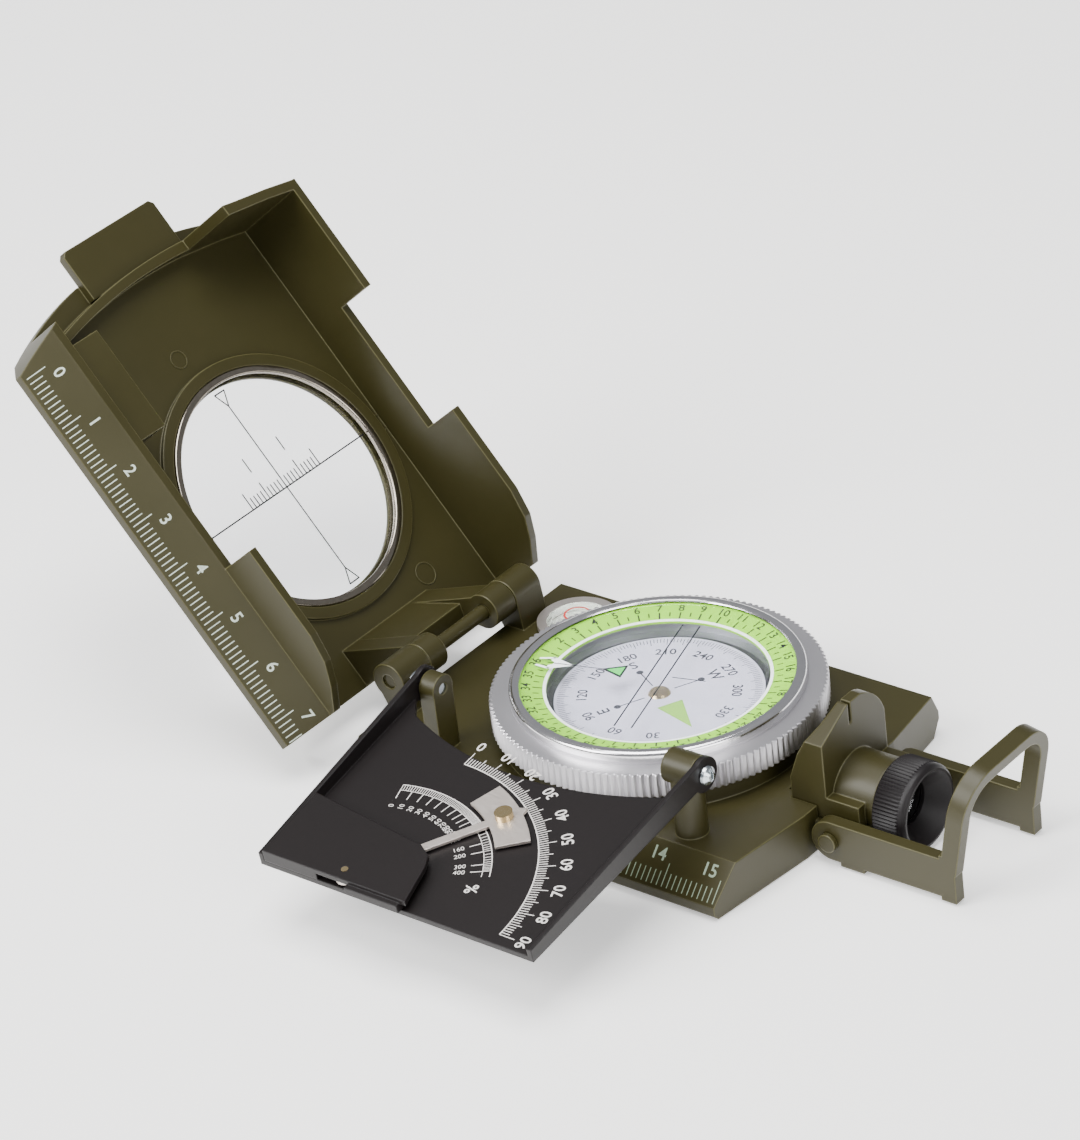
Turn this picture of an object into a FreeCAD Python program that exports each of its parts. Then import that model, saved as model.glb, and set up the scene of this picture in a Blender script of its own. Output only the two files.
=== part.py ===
"""Sighting compass with a hinged cover, a swing-out inclinometer tray and a thumb loop.

Frame: the dial's axis is Z, the base stands on Z = 0, +X points to the eyepiece and -Y to the ruler edge.
The cover is drawn closed and the tray level, then each is turned about its hinge to the open rest pose.
"""
import FreeCAD
import Part
import Sketcher
import math
import os

DIMENSIONS = {
    # base casting
    "base_height": 8.0, "base_rear": -42.2, "base_front": 36.8, "base_corner": 34.0,
    "rule_edge": -33.3, "rule_low": 2.4, "rule_inner": -28.2, "rule_high": 7.5,
    "far_edge": 29.3, "far_top": 27.2, "tongue_end": 45.5, "tongue_near": -8.9, "tongue_far": 10.4,
    "tongue_top": 5.6,
    # capsule and its collar
    "collar": 25.0, "collar_top": 15.3, "well": 22.9, "bowl": 22.8, "bowl_floor": 2.6, "bowl_top": 15.0,
    "bowl_bore": 20.6, "glass_seat": 22.0, "seat_floor": 13.55, "card": 17.4, "card_level": 12.4,
    # bezel
    "bezel": 27.9, "bezel_low": 11.0, "bezel_top": 15.5, "bezel_bore": 25.06, "shelf_top": 15.95,
    "lip": 24.5, "lip_top": 17.6, "crystal": 23.2, "scale_inner": 18.4,
    # cover, measured from its hinge
    "hinge_along": -42.4, "hinge_up": 13.3, "cover_open": 130.0, "knuckle": 3.3, "hinge_pin": 1.3,
    "cover_under": 28.1, "cover_top": 30.1, "cover_edge": -35.2, "cover_edge_low": 24.2,
    "strip_inner": -28.0, "strip_low": 19.1, "cover_wall": 27.2, "rim_low": 11.1, "wall": 1.6,
    "cover_start": -41.2, "tab_end": 48.1, "tab_half": 11.4, "window_along": -5.7, "window": 20.6,
    # inclinometer tray, measured from its hinge
    "tray_across": -23.6, "tray_up": 19.7, "tray_droop": 8.0, "tray_depth": 46.0, "tray_half": 27.4,
    "tray_under": -1.5, "tray_floor": -0.5, "tray_inner": 6.8, "ear": 3.0, "ear_pin": 1.0,
    "pendulum_along": -11.0, "pendulum_out": 43.9, "pendulum_reach": 30.4, "pendulum_rest": 34.2,
    # sight and eyepiece
    "sight_axis": 7.7, "tube": 6.4, "tube_end": 46.2, "vane_face": 38.6, "vane_top": 23.2,
    "cell": 5.12, "focus_ring": 7.5, "focus_start": 46.6, "focus_end": 52.8,
    # thumb loop
    "loop_along": 41.2, "loop_up": 4.5, "arm_half": 3.5, "arm_end": 65.0, "arm_near": -11.4,
    "arm_far": 13.0, "arm_thick": 2.2, "loop_top": 23.4,
}

doc = FreeCAD.newDocument("SightingCompass")
sheet = doc.addObject("Spreadsheet::Sheet", "Dims")
for row, (alias, value) in enumerate(DIMENSIONS.items(), start=1):
    sheet.set("A%d" % row, alias)
    sheet.set("B%d" % row, str(value))
    sheet.setAlias("B%d" % row, alias)
doc.recompute()


class Size:
    """A number that remembers the spreadsheet expression it came from."""

    def __init__(self, value, text):
        self.value = float(value)
        self.text = text

    def _join(self, other, sign, result):
        return Size(result, "(%s %s %s)" % (self.text, sign, size(other).text))

    def __add__(self, other):
        return self._join(other, "+", self.value + size(other).value)

    def __sub__(self, other):
        return self._join(other, "-", self.value - size(other).value)

    def __mul__(self, other):
        return self._join(other, "*", self.value * size(other).value)

    def __neg__(self):
        return Size(-self.value, "(-1 * %s)" % self.text)


def size(item):
    """A Size from a Size, from a spreadsheet alias or from a plain number."""
    if isinstance(item, Size):
        return item
    if isinstance(item, str):
        return Size(DIMENSIONS[item], "Dims.%s" % item)
    return Size(item, "%.5f" % item)


def bind(thing, path, item):
    thing.setExpression(path, size(item).text)


def place(thing, x=0.0, y=0.0, z=0.0, turn=None):
    """Bind an object's position to the sheet, with an optional fixed turn as (axis, degrees)."""
    here = FreeCAD.Vector(size(x).value, size(y).value, size(z).value)
    rotation = FreeCAD.Rotation(FreeCAD.Vector(*turn[0]), turn[1]) if turn else FreeCAD.Rotation()
    thing.Placement = FreeCAD.Placement(here, rotation)
    for path, item in (("x", x), ("y", y), ("z", z)):
        bind(thing, "Placement.Base.%s" % path, item)
    return thing


def box(name, low, high):
    """A block between two corners, each a triple of sizes."""
    block = doc.addObject("Part::Box", name)
    for path, start, end in zip(("Length", "Width", "Height"), low, high):
        bind(block, path, size(end) - start)
    return place(block, *low)


UP = None
ALONG = ((0, 1, 0), 90)
ACROSS = ((1, 0, 0), -90)


def rod(name, start, radius, length, turn=UP):
    """A cylinder from a start point, standing up, or lying along +X or +Y."""
    cylinder = doc.addObject("Part::Cylinder", name)
    bind(cylinder, "Radius", radius)
    bind(cylinder, "Height", length)
    return place(cylinder, *start, turn=turn)


def fuse(name, *things):
    joined = doc.addObject("Part::MultiFuse", name)
    joined.Shapes = list(things)
    joined.Refine = True
    return joined


def cut(name, solid, *tools):
    """What is left of a solid after every tool is taken out of it."""
    removed = doc.addObject("Part::Cut", name)
    removed.Base = solid
    removed.Tool = tools[0] if len(tools) == 1 else fuse(name + "_tools", *tools)
    removed.Refine = True
    return removed


def common(name, *things):
    shared = doc.addObject("Part::MultiCommon", name)
    shared.Shapes = list(things)
    return shared


def sketched_body(name, role, level, outline):
    """A body with one closed sketch on an origin plane, raised by level along the plane's normal.

    The outline is a list of (u, v) corners. A third item makes the side that leaves the corner an arc
    of that radius, bulging out of a counter-clockwise outline, or into it when the radius is negative.
    """
    body = doc.addObject("PartDesign::Body", name)
    sketch = body.newObject("Sketcher::SketchObject", name + "_sketch")
    plane = [item for item in body.Origin.OriginFeatures if item.Role == role][0]
    sketch.AttachmentSupport = [(plane, "")]
    sketch.MapMode = "FlatFace"
    bind(sketch, "AttachmentOffset.Base.z", level)
    corners = [(size(corner[0]), size(corner[1])) for corner in outline]
    points = [FreeCAD.Vector(u.value, v.value, 0) for u, v in corners]
    for index, corner in enumerate(outline):
        start, end = points[index], points[(index + 1) % len(points)]
        if len(corner) == 3:
            radius = size(corner[2])
            add_arc(sketch, start, end, radius)
        else:
            sketch.addGeometry(Part.LineSegment(start, end))
    ends = [arc_ends(sketch, index, outline) for index in range(len(outline))]
    for index, (u, v) in enumerate(corners):
        following = (index + 1) % len(corners)
        sketch.addConstraint(Sketcher.Constraint("Coincident", index, ends[index][1],
                                                 following, ends[following][0]))
        pin_down(sketch, "DistanceX", index, ends[index][0], u)
        pin_down(sketch, "DistanceY", index, ends[index][0], v)
    return body, sketch


def add_arc(sketch, start, end, radius):
    chord = end - start
    half = chord.Length / 2
    rise = abs(radius.value) - math.sqrt(radius.value ** 2 - half ** 2)
    outward = FreeCAD.Vector(chord.y, -chord.x, 0).normalize()
    middle = (start + end) / 2 + outward * math.copysign(rise, radius.value)
    index = sketch.addGeometry(Part.Arc(start, middle, end))
    fixed = sketch.addConstraint(Sketcher.Constraint("Radius", index, abs(radius.value)))
    if radius.value > 0:
        bind(sketch, "Constraints[%d]" % fixed, radius)


def arc_ends(sketch, index, outline):
    """The vertex numbers (1 or 2) at which a side starts and ends, because arcs run anticlockwise."""
    inward = len(outline[index]) == 3 and size(outline[index][2]).value < 0
    return (2, 1) if inward else (1, 2)


def pin_down(sketch, kind, index, vertex, item):
    """Fix one coordinate of a corner, measured from the sketch's origin."""
    fixed = sketch.addConstraint(Sketcher.Constraint(kind, -1, 1, index, vertex, item.value))
    bind(sketch, "Constraints[%d]" % fixed, item)


def slab(name, outline, low, high):
    """An outline in X and Y, padded between two heights."""
    body, sketch = sketched_body(name, "XY_Plane", low, outline)
    return pad(body, sketch, size(high) - low)


def rail(name, outline, low, high):
    """An outline in Y and Z, padded between two places along X."""
    body, sketch = sketched_body(name, "YZ_Plane", low, outline)
    return pad(body, sketch, size(high) - low)


def cheek(name, outline, low, high):
    """An outline in X and Z, padded between two places across Y."""
    body, sketch = sketched_body(name, "XZ_Plane", -size(high), outline)
    return pad(body, sketch, size(high) - low)


def pad(body, sketch, length):
    feature = body.newObject("PartDesign::Pad", body.Name + "_pad")
    feature.Profile = sketch
    bind(feature, "Length", length)
    return body


def turned(name, outline, axis="V_Axis"):
    """A half section in X and Z, revolved about Z (V_Axis) or X (H_Axis)."""
    body, sketch = sketched_body(name, "XZ_Plane", 0, outline)
    feature = body.newObject("PartDesign::Revolution", name + "_turn")
    feature.Profile = sketch
    feature.ReferenceAxis = (sketch, [axis])
    feature.Angle = 360
    return body


def ring(name, inner, outer, low, high):
    return turned(name, [(inner, low), (outer, low), (outer, high), (inner, high)])


nodes = []


def gather(name, things):
    """Loose solids that belong to one sub-part."""
    group = doc.addObject("Part::Compound", name)
    group.Links = list(things)
    return group


def node(thing, label, placement=None):
    """Name a finished sub-part, and turn it to its rest place when it hangs on a hinge."""
    if placement:
        thing.Label = label + "_unturned"
        thing = gather(label + "_at_rest", [thing])
        thing.Placement = placement
    thing.Label = label
    nodes.append(thing)


def hinge_placement(pivot, degrees, axis):
    """The placement that turns a part about a line through a pivot point."""
    centre = FreeCAD.Vector(*[size(item).value for item in pivot])
    turn = FreeCAD.Rotation(FreeCAD.Vector(*axis), degrees)
    return FreeCAD.Placement(FreeCAD.Vector(), turn, centre)


# --- base casting: ruler bevel, collar, hinge lugs, tray posts and eyepiece tongue -----------------
def base_casting():
    section = rail("base_section", [
        ("rule_edge", 0.8), (size("rule_edge") + 0.8, 0), (size("far_edge") - 2.3, 0), ("far_edge", 2.6),
        ("far_edge", 4.0), ("far_top", "base_height"), (size("rule_inner") + 0.5, "base_height"),
        ("rule_inner", "rule_high"), ("rule_edge", "rule_low")], "base_rear", "base_front")
    plan = slab("base_plan", [
        ("base_rear", -35.0), ("base_corner", -35.0), ("base_front", -11.6), ("base_front", 13.2),
        (size("base_corner") + 0.2, 31.0), (size("base_rear"), 31.0)], 0, "base_height")
    deck = common("base_deck", section, plan)
    tongue = box("base_tongue", (30.0, "tongue_near", 0.4), ("tongue_end", "tongue_far", "tongue_top"))
    flange = rod("base_flange", (0, 0, 7.0), 26.5, 3.6)
    collar = rod("base_collar", (0, 0, 7.0), "collar", size("collar_top") - 7.0)
    lugs = []
    for name, low, high in (("near", -18.6, -11.4), ("far", 11.8, 18.4)):
        lugs.append(rod("lug_round_" + name, ("hinge_along", low, "hinge_up"), "knuckle", high - low, ACROSS))
        lugs.append(cheek("lug_foot_" + name, [
            (size("hinge_along") - size("knuckle"), "hinge_up"), (size("base_rear"), 6.5),
            (size("hinge_along") + 4.4, 6.5), (size("hinge_along") + 4.1, "base_height"),
            (size("hinge_along") + size("knuckle"), "hinge_up")], low, high))
    right_post = rod("post_right", (23.5, "tray_across", 7.0), 2.7, size("tray_up") - 7.0)
    right_head = rod("post_right_head", (20.7, "tray_across", "tray_up"), 2.9, 5.6, ALONG)
    left_post = box("post_left", (-28.8, size("tray_across") - 2.4, 7.0),
                    (-25.8, size("tray_across") + 2.4, "tray_up"))
    left_head = rod("post_left_head", (-28.8, "tray_across", "tray_up"), 2.5, 3.0, ALONG)
    whole = fuse("base_whole", deck, tongue, flange, collar, right_post, right_head,
                 left_post, left_head, *lugs)
    well = rod("base_well", (0, 0, -1.0), "well", size("bowl_top") + 1.0)
    mouth = rod("base_mouth", (0, 0, 10.0), 21.9, 10.0)
    floor_seat = rod("base_floor_seat", (0, 0, -1.0), 26.0, 2.25)
    cradle = rod("base_cradle", (30.0, 0, "sight_axis"), size("tube") + 0.02, 20.0, ALONG)
    sight_seat = box("base_sight_seat", (31.7, -8.2, "tongue_top"), ("vane_face", 9.4, 12.0))
    level_seat = rod("base_level_seat", (-30.8, 17.4, 4.0), 6.62, 6.0)
    groove = ring("base_groove", 24.4, 25.6, 12.2, 12.9)
    holes = [
        rod("hinge_bore_near", ("hinge_along", -19.0, "hinge_up"), "hinge_pin", 8.0, ACROSS),
        rod("hinge_bore_far", ("hinge_along", 11.0, "hinge_up"), "hinge_pin", 8.0, ACROSS),
        rod("ear_bore_right", (15.0, "tray_across", "tray_up"), "ear_pin", 12.0, ALONG),
        rod("ear_bore_left", (-32.0, "tray_across", "tray_up"), "ear_pin", 8.0, ALONG),
        rod("loop_bore_near", ("loop_along", -9.0, "loop_up"), 1.0, 2.2, ACROSS),
        rod("loop_bore_far", ("loop_along", 8.4, "loop_up"), 1.0, 2.2, ACROSS),
        rod("sight_screw_bore", (34.6, 0, -1.0), 1.0, 12.0),
        rod("sight_screw_seat", (34.6, 0, -1.0), 2.0, 2.2),
    ]
    holes += [rod("floor_bore_%d" % count, (23.9 * math.cos(angle), 23.9 * math.sin(angle), -1.0), 0.7, 5.0)
              for count, angle in enumerate((0.3, 0.3 + 2 * math.pi / 3, 0.3 + 4 * math.pi / 3))]
    return cut("base_casting", whole, well, mouth, floor_seat, cradle, sight_seat, level_seat, groove, *holes)


def base_fittings():
    """The floor plate and its screws, the hinge pin, the tray's two pivots and the loop's rivets."""
    plate = rod("floor_plate_disc", (0, 0, 0), 25.8, 1.2)
    angles = [0.3 + count * 2 * math.pi / 3 for count in range(3)]
    spots = [(23.9 * math.cos(angle), 23.9 * math.sin(angle)) for angle in angles]
    holes = [rod("plate_hole_%d" % count, (x, y, -1.0), 0.7, 3.0) for count, (x, y) in enumerate(spots)]
    sinks = [rod("plate_sink_%d" % count, (x, y, -1.0), 1.3, 1.5) for count, (x, y) in enumerate(spots)]
    node(cut("floor_plate", plate, *holes, *sinks), "floor_plate")
    screws = []
    for count, (x, y) in enumerate(spots):
        head = rod("floor_screw_head_%d" % count, (x, y, 0.05), 1.25, 0.45)
        shank = rod("floor_screw_shank_%d" % count, (x, y, 0.5), 0.7, 3.4)
        screws.append(fuse("floor_screw_%d" % count, head, shank))
    node(gather("floor_screws", screws), "floor_screws")
    node(rod("hinge_pin_rod", ("hinge_along", -18.2, "hinge_up"), "hinge_pin", 36.2, ACROSS), "hinge_pin")
    shank = rod("tray_screw_shank", (21.5, "tray_across", "tray_up"), "ear_pin", 6.2, ALONG)
    head = turned_along("tray_screw_head", [(0, 0), (0, 1.7), (0.5, 1.55), (1.1, 0.8), (1.25, 0)],
                        (27.55, "tray_across", "tray_up"))
    slot = box("tray_screw_slot", (28.25, size("tray_across") - 0.25, 16.0),
               (30.0, size("tray_across") + 0.25, 24.0))
    node(cut("tray_screw", fuse("tray_screw_whole", shank, head), slot), "tray_screw")
    shank = rod("tray_rivet_shank", (-31.0, "tray_across", "tray_up"), "ear_pin", 4.9, ALONG)
    head = rod("tray_rivet_head", (-31.5, "tray_across", "tray_up"), 1.7, 0.9, ALONG)
    node(fuse("tray_rivet", shank, head), "tray_rivet")
    rivets = []
    for side, outer, inward in (("near", size("arm_near"), 1), ("far", size("arm_far"), -1)):
        start = outer - 0.9 if inward > 0 else outer + 0.9 - 4.9
        cap = outer - 1.0 if inward > 0 else outer + 0.15
        shank = rod("loop_rivet_shank_" + side, ("loop_along", start, "loop_up"), 1.0, 4.9, ACROSS)
        head = rod("loop_rivet_head_" + side, ("loop_along", cap, "loop_up"), 1.6, 0.85, ACROSS)
        rivets.append(fuse("loop_rivet_" + side, shank, head))
    node(gather("loop_rivets", rivets), "loop_rivets")


def turned_along(name, outline, start):
    """A half section in X and Z, revolved about X and moved to its start point."""
    return place(turned(name, outline, "H_Axis"), *start)


# --- liquid capsule: bowl, seal, glass, needle, and the card that floats in it ---------------------
def capsule():
    node(turned("capsule_bowl", [
        (0, "bowl_floor"), ("bowl", "bowl_floor"), ("bowl", "bowl_top"), ("glass_seat", "bowl_top"),
        ("glass_seat", "seat_floor"), ("bowl_bore", "seat_floor"), ("bowl_bore", 12.0), (18.9, 12.0),
        (18.9, 4.0), (0, 4.0)]), "capsule_bowl")
    node(ring("cushion_ring", 17.0, 22.0, 1.25, size("bowl_floor") - 0.05), "cushion_ring")
    node(ring("capsule_seal", size("bowl_bore") + 0.1, size("glass_seat") - 0.1,
              "seat_floor", size("seat_floor") + 0.4), "capsule_seal")
    node(rod("capsule_glass", (0, 0, size("seat_floor") + 0.4), size("glass_seat") - 0.05, 0.8), "capsule_glass")
    node(turned("pivot_needle", [(0, 4.0), (2.2, 4.0), (2.2, 4.8), (0.6, 5.2), (0.6, 10.7), (0, 11.95)]),
         "pivot_needle")
    disc = rod("card_plate", (0, 0, "card_level"), "card", 0.3)
    eye = rod("card_eye", (0, 0, 10.0), 1.4, 5.0)
    node(cut("compass_card", disc, eye), "compass_card")
    node(turned("card_jewel", [
        (0.9, 10.7), (1.35, 10.7), (1.35, 12.7), (1.9, 12.7), (1.6, 13.1), (0, 13.3), (0, 12.2), (0.9, 11.3)]),
        "card_jewel")
    bars = []
    for side, low, high in (("near", -4.6, -2.0), ("far", 2.0, 4.6)):
        bars.append(box("magnet_" + side, (-9.0, low, 11.1), (9.0, high, "card_level")))
    node(gather("card_magnets", bars), "card_magnets")


# --- bezel: knurled ring, luminous scale, crystal, lip and the spring ring under it ----------------
def bezel():
    node(turned("bezel_ring", [
        ("bezel_bore", "bezel_low"), (size("bezel") - 0.3, "bezel_low"), ("bezel", size("bezel_low") + 0.3),
        ("bezel", size("bezel_top") - 0.2), (size("bezel") - 0.2, "bezel_top"), ("lip", "bezel_top"),
        ("lip", "shelf_top"), (21.6, "shelf_top"), (21.6, 15.45), ("bezel_bore", 15.45)]), "bezel_ring")
    node(turned("luminous_scale", [
        ("scale_inner", 15.2), (21.5, "shelf_top"), (22.9, "shelf_top"), (22.9, 16.45), ("scale_inner", 15.6)]),
        "luminous_scale")
    node(rod("bezel_crystal", (0, 0, 16.6), "crystal", 0.65), "bezel_crystal")
    node(turned("crystal_lip", [
        ("crystal", "shelf_top"), ("lip", "shelf_top"), ("lip", 16.9), (24.2, 17.4), (23.7, "lip_top"),
        (22.7, "lip_top"), (22.7, 17.25), ("crystal", 17.25)]), "crystal_lip")
    loop = ring("spring_ring_full", 24.42, 24.96, 12.25, 12.85)
    gap = box("spring_ring_gap", (20.0, -1.5, 12.0), (28.0, 1.5, 13.0))
    node(cut("bezel_spring_ring", loop, gap), "bezel_spring_ring")


# --- bubble level: cup, liquid and domed window ----------------------------------------------------
def bubble_level():
    node(place(turned("level_cup", [(0, 4.0), (6.6, 4.0), (6.6, 8.6), (7.0, 8.6), (7.0, 9.6), (5.4, 9.6),
                                    (5.4, 5.0), (0, 5.0)]), -30.8, 17.4, 0), "level_cup")
    node(place(turned("level_liquid", [(0, 5.0), (5.3, 5.0), (5.3, 8.8), (0, 8.8)]), -30.8, 17.4, 0),
         "level_liquid")
    node(place(turned("level_window", [(0, 8.85), (5.35, 8.85), (5.35, 9.6), (4.4, 10.1), (2.2, 10.4),
                                       (0, 10.5)]), -30.8, 17.4, 0), "level_window")


# --- sight: vane with a slit, prism housing, eyepiece tube, and the focusing eyepiece --------------
def sight():
    section = rail("vane_section", [
        (-8.0, "tongue_top"), (9.2, "tongue_top"), (9.2, 17.0, 9.0), (3.2, "vane_top"), (-0.6, "vane_top"),
        (-8.0, 19.4)], 31.6, "vane_face")
    side = cheek("vane_side", [
        (31.8, "tongue_top"), ("vane_face", "tongue_top"), ("vane_face", 24.0), (37.0, 24.0),
        (36.2, 21.2), (33.6, 16.6), (31.8, 11.8)], -8.0, 9.2)
    hood = common("sight_hood", section, side)
    tube = rod("sight_tube", (33.0, 0, "sight_axis"), "tube", size("tube_end") - 33.0, ALONG)
    shoulder = box("sight_shoulder", (36.0, -8.0, "tongue_top"), (44.8, 9.2, 9.8))
    bore = rod("sight_bore", (36.4, 0, "sight_axis"), size("cell") + 0.06, 12.0, ALONG)
    window = rod("sight_window", (25.0, 0, 16.5), 2.0, 9.0, ALONG)
    cavity = box("prism_cavity", (33.4, -3.6, 6.4), (37.0, 3.6, 13.8))
    shaft = box("sight_shaft", (33.4, -1.6, 13.0), (37.0, 1.6, 18.5))
    slit = box("vane_slit", (20.0, -0.35, 19.4), (40.0, 0.35, 24.0))
    thread = rod("sight_thread", (34.6, 0, -1.0), 1.0, 5.4)
    node(cut("sight_housing", fuse("sight_whole", hood, tube, shoulder), bore, window, cavity, shaft, slit, thread),
         "sight_housing")
    node(cheek("sight_prism", [(33.5, 6.5), (36.9, 6.5), (36.9, 13.6), (33.5, 10.2)], -3.5, 3.5), "sight_prism")
    head = rod("sight_screw_head", (34.6, 0, 0.3), 2.0, 0.9)
    shank = rod("sight_screw_shank", (34.6, 0, 1.2), 1.0, 3.1)
    node(fuse("sight_screw", head, shank), "sight_screw")


def eyepiece():
    axis_start = (0, 0, "sight_axis")
    node(turned_along("lens_cell", [
        (39.0, 4.2), (39.0, "cell"), (48.2, "cell"), (48.2, 4.0), (47.9, 4.0), (47.9, 4.5), (45.6, 4.5),
        (45.6, 4.2)], axis_start), "lens_cell")
    node(turned_along("eyepiece_lens", [
        (45.7, 0), (45.95, 2.4), (46.6, 4.45), (47.0, 4.45), (47.6, 2.4), (47.8, 0)], axis_start),
        "eyepiece_lens")
    node(turned_along("focus_ring", [
        ("focus_start", size("cell") + 0.06), ("focus_start", size("focus_ring") - 0.3),
        (46.9, "focus_ring"), (52.2, "focus_ring"), ("focus_end", 6.9), ("focus_end", 6.4),
        (49.2, 3.8), (48.5, 3.8), (48.5, size("cell") + 0.06)], axis_start), "focus_ring")


# --- thumb loop: two arms on rivets, joined by a raised bow --------------------------------------
def thumb_loop():
    solids = []
    low, high = size("loop_up") - size("arm_half"), size("loop_up") + size("arm_half")
    for side, start in (("near", size("arm_near")), ("far", size("arm_far") - size("arm_thick"))):
        end = start + size("arm_thick")
        solids.append(rod("arm_eye_" + side, ("loop_along", start, "loop_up"), "arm_half", "arm_thick", ACROSS))
        solids.append(box("arm_bar_" + side, ("loop_along", start, low), ("arm_end", end, high)))
        solids.append(box("arm_foot_" + side, (43.0, start, 0.3), (47.5, end, 2.0)))
        solids.append(box("arm_block_" + side, (62.2, start, 0.3), ("arm_end", end, 8.6)))
    corner = 7.0
    near, far, top = size("arm_near"), size("arm_far"), size("loop_top")
    thick = size("arm_thick")
    outer = rail("bow_outer", [
        (near, 6.0), (far, 6.0), (far, top - corner, corner), (far - corner, top),
        (near + corner, top, corner), (near, top - corner)], 62.2, 65.2)
    inner = rail("bow_inner", [
        (near + thick, 5.0), (far - thick, 5.0), (far - thick, top - corner, corner - thick.value),
        (far - corner, top - thick), (near + corner, top - thick, corner - thick.value),
        (near + thick, top - corner)], 60.0, 67.0)
    bow = cut("bow", outer, inner)
    bow.Placement = hinge_placement((62.2, 0, 6.0), 11.0, (0, 1, 0))
    loop = fuse("loop_whole", bow, *solids)
    eyes = rod("loop_eyes", ("loop_along", -13.0, "loop_up"), 1.06, 28.0, ACROSS)
    node(cut("thumb_loop", loop, eyes), "thumb_loop")


# --- cover, drawn closed: plate with window, ruler strip, walls, tab and hinge block ---------------
def cover():
    rest = hinge_placement(("hinge_along", 0, "hinge_up"), -DIMENSIONS["cover_open"], (0, 1, 0))
    start, wall = size("cover_start"), size("wall")
    near, far = size("strip_inner"), size("cover_wall")
    section = rail("cover_section", [
        ("cover_edge", "cover_edge_low"), (near, "strip_low"), (near + wall, "strip_low"),
        (near + wall, "cover_under"), (far - wall, "cover_under"), (far - wall, "strip_low"),
        (far, "strip_low"), (far, size("cover_top") - 1.5), (far - 1.5, "cover_top"),
        (size("cover_edge") + 4.5, "cover_top"), ("cover_edge", size("cover_edge_low") + 1.6)], start, 42.0)
    plan = slab("cover_plan", [
        (start, -36.0), (33.0, -36.0), (34.2, "cover_edge", 70.0), (36.6, far), (36.4, 28.5), (start, 28.5)],
        10.0, 31.0)
    shell = common("cover_shell", section, plan)
    pad_block = box("cover_pad", (14.0, near + 0.5, 20.0), (33.5, -19.8, 29.0))
    end_wall = slab("cover_end_wall", [
        (39.05, 10.6), (38.65, 13.0), (37.6, 20.5), (36.4, far), (34.6, far), (35.9, 20.0), (37.1, 10.6)],
        "rim_low", 29.0)
    flap_rim = [(start, 29.0), (start, 18.0), (-37.4, 14.6), (-33.6, 12.2), (-28.6, "rim_low"),
                (-11.4, "rim_low"), (-11.4, 29.0)]
    near_flap = cheek("cover_near_flap", flap_rim, near, near + wall)
    far_flap = cheek("cover_far_flap", flap_rim, far - wall, far)
    box_wall = box("cover_box_wall", (14.1, far - wall, "rim_low"), (36.5, far, 29.0))
    tab = slab("cover_tab", [
        (38.6, -size("tab_half")), (size("tab_end") - 0.8, -size("tab_half")),
        ("tab_end", 0.8 - size("tab_half").value), ("tab_end", size("tab_half") - 0.8),
        (size("tab_end") - 0.8, "tab_half"), (38.6, "tab_half")], 26.5, "cover_under")
    front_rim = slab("cover_front_rim", [
        (39.05, 10.8, -104.0), (35.6, -24.5), (34.0, -24.5, 102.4), (37.1, 10.8)], 25.1, 28.6)
    rim = rod("cover_window_rim", ("window_along", 0, 27.3), 24.4, 0.9)
    top_rim = rod("cover_top_rim", ("window_along", 0, 30.0), 26.0, 1.5)
    block = hinge_block()
    whole = fuse("cover_whole", shell, pad_block, end_wall, front_rim, near_flap, far_flap, box_wall, tab,
                 rim, top_rim, *block)
    opening = rod("cover_opening", ("window_along", 0, 20.0), "window", 14.0)
    seat = rod("cover_glass_seat", ("window_along", 0, 20.0), 22.3, 9.4)
    top_bore = rod("cover_top_bore", ("window_along", 0, 30.1), 22.3, 4.0)
    pin_bore = rod("cover_pin_bore", ("hinge_along", -20.0, "hinge_up"), size("hinge_pin") + 0.06, 40.0, ACROSS)
    node(cut("cover_casting", whole, opening, seat, top_bore, pin_bore), "cover_casting", rest)
    node(rod("cover_window", ("window_along", 0, 28.2), 22.2, 1.2), "cover_window", rest)
    clamp = rod("window_clamp_outer", ("window_along", 0, 27.0), 22.25, 1.2)
    clear = rod("window_clamp_inner", ("window_along", 0, 26.0), 20.9, 4.0)
    node(cut("window_ring", clamp, clear), "window_ring", rest)


def hinge_block():
    """The raised block that carries the cover's two knuckles and leaves the pin bare between them."""
    along, up = size("hinge_along"), size("hinge_up")
    middle = cheek("block_middle", [
        (along + 0.7, up + 5.0), (along + 3.4, up + 3.8), (along + 8.5, "cover_under"),
        (along + 8.5, 29.0), (along + 1.4, 29.0)], -6.9, 6.7)
    solids = [middle]
    for side, low, high in (("near", -11.2, -6.9), ("far", 6.7, 11.6)):
        solids.append(cheek("block_cheek_" + side, [
            (along + 0.9, up + 5.4), (along - 2.6, up + 1.9), (along + 3.2, up + 0.6),
            (along + 8.5, "cover_under"), (along + 8.5, 29.0), (along + 1.4, 29.0)], low, high))
        solids.append(rod("cover_knuckle_" + side, ("hinge_along", low, "hinge_up"), 3.2, high - low, ACROSS))
    return solids


# --- inclinometer tray, drawn level with X along the hinge and -Y outwards -------------------------
def tray_point(x, out):
    """A place on the tray: along its hinge, and outwards from it."""
    return (size(x), size("tray_across") - out)


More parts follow.
